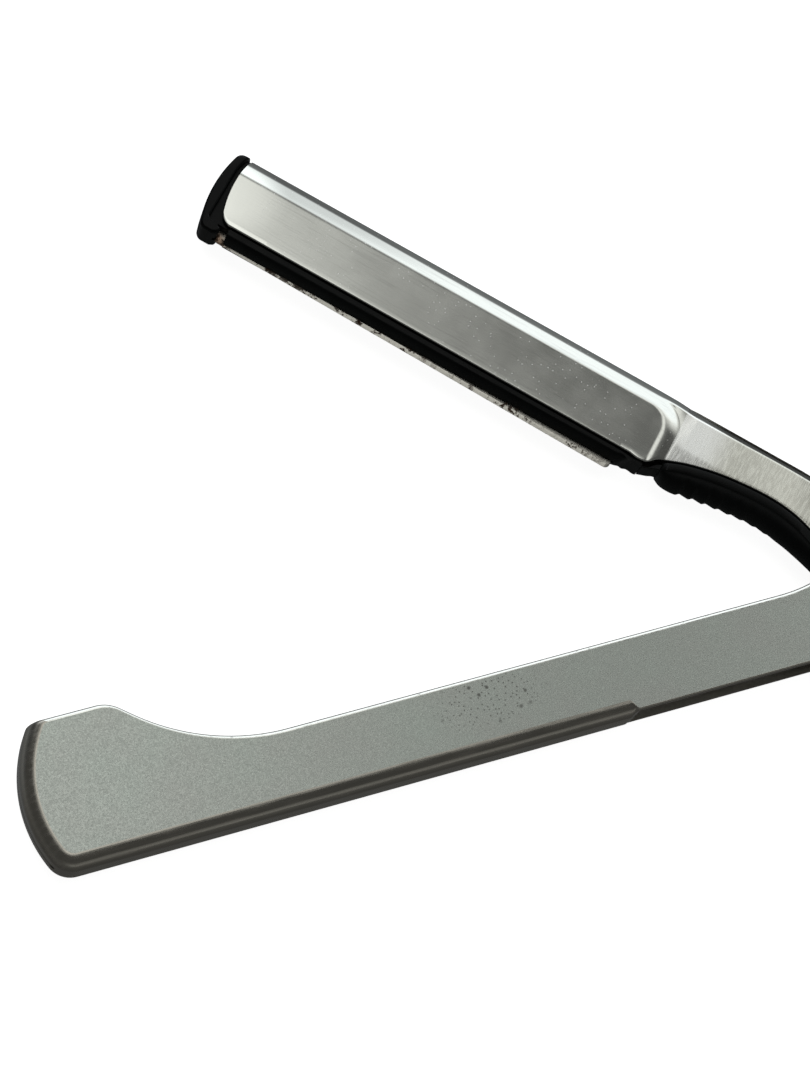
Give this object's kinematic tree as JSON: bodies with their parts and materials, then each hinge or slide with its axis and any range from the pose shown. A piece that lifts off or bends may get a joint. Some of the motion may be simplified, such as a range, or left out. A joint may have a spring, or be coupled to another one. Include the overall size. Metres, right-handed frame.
{
  "type": "straight razor",
  "caption": "Folding barber's razor with a folded steel handle, a turning steel head with a tail and ribbed thumb rest, and a black carrier that slides out with its long blade.",
  "frame": {"origin": "on the hinge axis, at the outer face of the lower rivet head, which is flush with the handle's lower face", "axes": "+Z along the hinge axis through the handle's thickness; -X along the handle to its far end; -Y towards the handle's folded back. At rest the head stands 45.5 degrees open, towards -X and +Y"},
  "size_m": [0.1592, 0.1007, 0.007],
  "materials": {
    "satin_steel": "bead-blasted satin, folded edges darker, rims polished",
    "polished_steel": "polished with fine haze and small marks",
    "pin_steel": "turned and lightly polished",
    "bronze": "plain",
    "grip_plastic": "moulded, satin, ribbed",
    "carrier_plastic": "moulded, half gloss",
    "blade_steel": "ground bright edge with rust specks"
  },
  "bodies": {
    "handle": {"handle_shell": "satin_steel", "pivot_rivet": "pin_steel", "rivet_burr": "pin_steel", "washer_lower": "bronze", "washer_upper": "bronze"},
    "head": {"holder_shell": "polished_steel", "thumb_rest": "grip_plastic", "grip_rivet": "pin_steel", "pivot_bush": "bronze"},
    "insert": {"blade_carrier": "carrier_plastic", "blade": "blade_steel"}
  },
  "joints": [
    {"name": "head_hinge", "type": "hinge", "parent": "handle", "child": "head", "pos_m": [0, 0, 0.0035], "axis": [0, 0, -1], "range_deg": [-45.5, 290]},
    {"name": "carrier_slide", "type": "slide", "parent": "head", "child": "insert", "axis": [-0.7009, 0.7133, 0], "range_m": [0, 0.013]}
  ]
}
